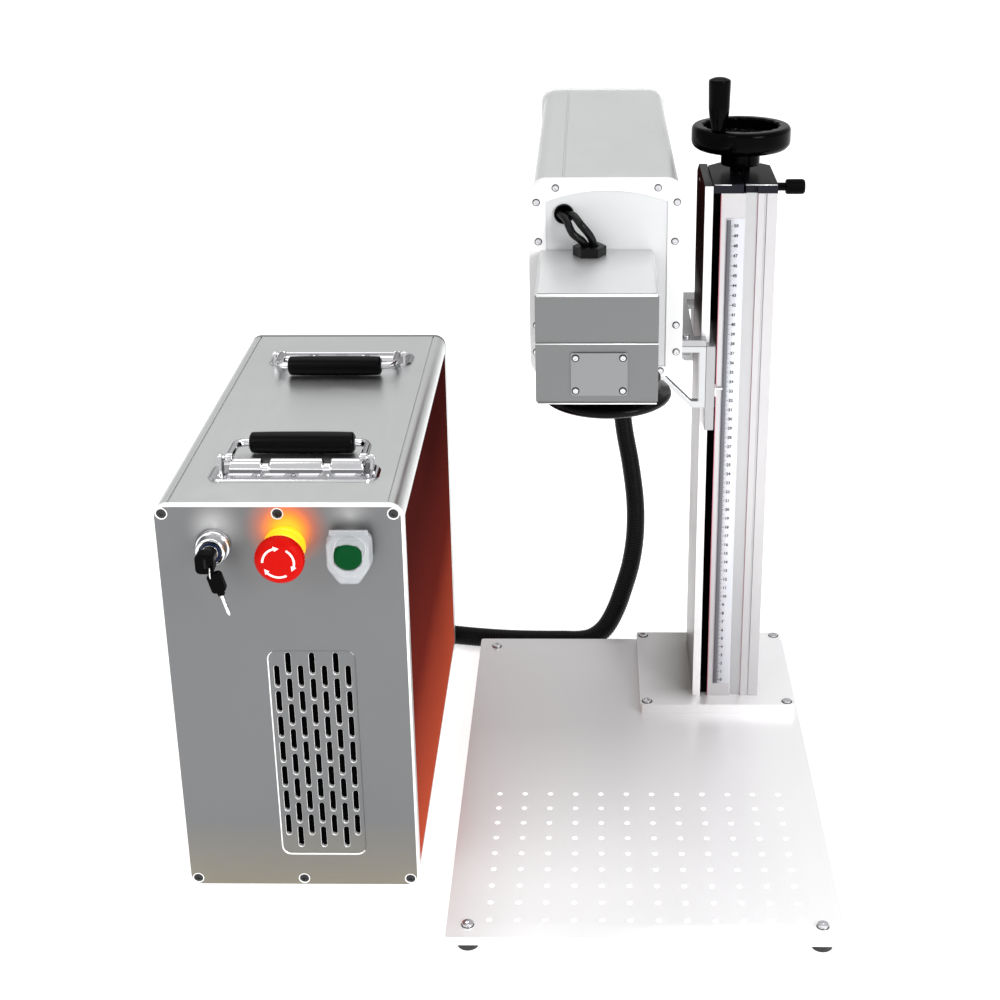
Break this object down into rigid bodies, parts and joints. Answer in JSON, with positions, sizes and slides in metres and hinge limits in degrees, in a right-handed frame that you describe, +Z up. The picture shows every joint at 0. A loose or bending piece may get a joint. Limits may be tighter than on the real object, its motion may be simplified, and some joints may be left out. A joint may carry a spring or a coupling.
{
  "type": "laser engraving machine",
  "caption": "Split laser engraving machine: a floor-standing control cabinet and a drilled base plate with a screw-driven column that lifts a long marking head with scan head and lens.",
  "frame": {"origin": "middle of the footprint of the cabinet, the base plate and the head with its gland, on the bench", "axes": "+Z up, -Y towards the user in front of the controls, +X to the right from the cabinet to the column"},
  "size_m": [0.6626, 0.8717, 0.6888],
  "materials": {
    "anodised": "silver anodised, satin",
    "cover": "silver anodised with a dark red sheen at the top",
    "gusset": "brushed",
    "feet": "matt black",
    "screws": "zinc and black oxide",
    "cap_dark": "dark grey anodised",
    "ruler": "printed scale",
    "steel": "ground steel",
    "shell": "brushed",
    "red_panel": "glossy red",
    "panel_grey": "satin grey with a fine grain",
    "handle_chrome": "polished",
    "yellow": "glossy",
    "bezel": "metallised",
    "fan_black": "matt",
    "electronics": null,
    "black_plastic": "matt black",
    "hose": "corrugated black nylon",
    "brass": "machined",
    "white": "white",
    "head_metal": "light satin",
    "optics_metal": "dark anodised",
    "scan_silver": "satin silver",
    "lens_black": "black anodised",
    "lens_glass": "coated",
    "mirror": "coated",
    "wheel_black": "glossy black",
    "red_button": "glossy red",
    "green_button": "glossy green",
    "clear_guard": "clear plastic"
  },
  "bodies": {
    "stand": {"base_plate": "anodised", "rubber_feet": "feet", "column_flange": "anodised", "fixing_screws": "screws", "column_profile": "anodised", "column_cover": "cover", "column_top_cap": "cap_dark", "ruler_scale": "ruler", "guide_rods": "steel", "end_blocks": "anodised", "cabinet_shell": "shell", "cabinet_side_panels": "red_panel", "cabinet_front_panel": "panel_grey", "cabinet_rear_panel": "panel_grey", "handle_bases": "handle_chrome", "key_barrel": "handle_chrome", "estop_collar": "yellow", "start_bezel": "bezel", "fan_frame": "fan_black", "fibre_source": "electronics", "power_supply": "electronics", "power_inlet": "black_plastic", "cabinet_gland": "black_plastic", "hose_drop": "hose", "hose_floor": "hose", "hose_coil": "hose"},
    "lift": {"carriage": "anodised", "rod_bushes": "brass", "lead_nut": "brass", "ruler_pointer": "white", "head_bracket": "anodised", "bracket_gussets": "gusset", "head_shell": "head_metal", "head_side_panels": "red_panel", "head_front_cap": "white", "head_rear_cap": "white", "head_screws": "screws", "beam_isolator": "optics_metal", "scan_housing": "scan_silver", "scan_cover": "scan_silver", "galvo_motors": "optics_metal", "lens_barrel": "lens_black", "lens_glass": "lens_glass", "head_glands": "black_plastic", "scan_cables": "hose"},
    "x_mirror": {"x_mirror": "mirror"},
    "y_mirror": {"y_mirror": "mirror"},
    "handwheel": {"handwheel": "wheel_black", "lead_screw": "steel"},
    "wheel_grip": {"handwheel_grip": "wheel_black"},
    "lock_knob": {"lock_knob": "wheel_black"},
    "estop_plunger": {"estop_plunger": "black_plastic"},
    "estop_head": {"estop_head": "red_button"},
    "start_button": {"start_button": "green_button"},
    "guard_lid": {"guard_lid": "clear_guard"},
    "front_handle": {"front_handle": "handle_chrome"},
    "rear_handle": {"rear_handle": "handle_chrome"},
    "key": {"key": "black_plastic"},
    "spare_key": {"spare_key": "black_plastic"},
    "fan_rotor": {"fan_rotor": "fan_black"}
  },
  "joints": [
    {"name": "head_lift", "type": "slide", "parent": "stand", "child": "lift", "axis": [0, 0, 1], "range_m": [-0.28, 0.12], "deforming": ["hose_drop"]},
    {"name": "handwheel_turn", "type": "hinge", "parent": "stand", "child": "handwheel", "pos_m": [0.2226, 0.0684, 0.6], "axis": [0, 0, 1], "range_deg": [-8700, 20200]},
    {"name": "grip_spin", "type": "hinge", "parent": "handwheel", "child": "wheel_grip", "pos_m": [0.19817, 0.03929, 0.66], "axis": [0, 0, 1], "continuous": true},
    {"name": "lock_knob_turn", "type": "hinge", "parent": "stand", "child": "lock_knob", "pos_m": [0.27, 0.0153, 0.58785], "axis": [1, 0, 0], "range_deg": [0, 720]},
    {"name": "estop_push", "type": "slide", "parent": "stand", "child": "estop_plunger", "axis": [0, 1, 0], "range_m": [0, 0.005]},
    {"name": "estop_twist", "type": "hinge", "parent": "estop_plunger", "child": "estop_head", "pos_m": [-0.1856, -0.33, 0.353], "axis": [0, 1, 0], "range_deg": [0, 45], "stiffness_Nm_per_rad": 0.05},
    {"name": "start_button_push", "type": "slide", "parent": "stand", "child": "start_button", "axis": [0, 1, 0], "range_m": [0, 0.004], "stiffness_N_per_m": 400},
    {"name": "guard_lid_open", "type": "hinge", "parent": "stand", "child": "guard_lid", "pos_m": [-0.1291, -0.3051, 0.378], "axis": [1, 0, 0], "range_deg": [-110, 0]},
    {"name": "key_turn", "type": "hinge", "parent": "stand", "child": "key", "pos_m": [-0.2466, -0.32, 0.353], "axis": [0, 1, 0], "range_deg": [0, 90]},
    {"name": "spare_key_hang", "type": "hinge", "parent": "key", "child": "spare_key", "pos_m": [-0.2466, -0.3291, 0.3465], "axis": [0, 1, 0], "range_deg": [-95, 5]},
    {"name": "front_handle_fold", "type": "hinge", "parent": "stand", "child": "front_handle", "pos_m": [-0.1861, -0.2171, 0.4003], "axis": [1, 0, 0], "range_deg": [0, 90]},
    {"name": "rear_handle_fold", "type": "hinge", "parent": "stand", "child": "rear_handle", "pos_m": [-0.1861, 0.0679, 0.4003], "axis": [1, 0, 0], "range_deg": [-90, 0]},
    {"name": "fan_spin", "type": "hinge", "parent": "stand", "child": "fan_rotor", "pos_m": [-0.1906, 0.14, 0.275], "axis": [0, 1, 0], "continuous": true},
    {"name": "x_mirror_scan", "type": "hinge", "parent": "lift", "child": "x_mirror", "pos_m": [0.0718, -0.177, 0.499], "axis": [0, 0, 1], "range_deg": [-12, 12]},
    {"name": "y_mirror_scan", "type": "hinge", "parent": "lift", "child": "y_mirror", "pos_m": [0.0888, -0.177, 0.499], "axis": [0, 1, 0], "range_deg": [-12, 12]}
  ],
  "couplings": [
    {"joint": "handwheel_turn", "follows": "head_lift", "rad_per_m": -1256.6},
    {"joint": "spare_key_hang", "follows": "key_turn", "ratio": -1}
  ]
}
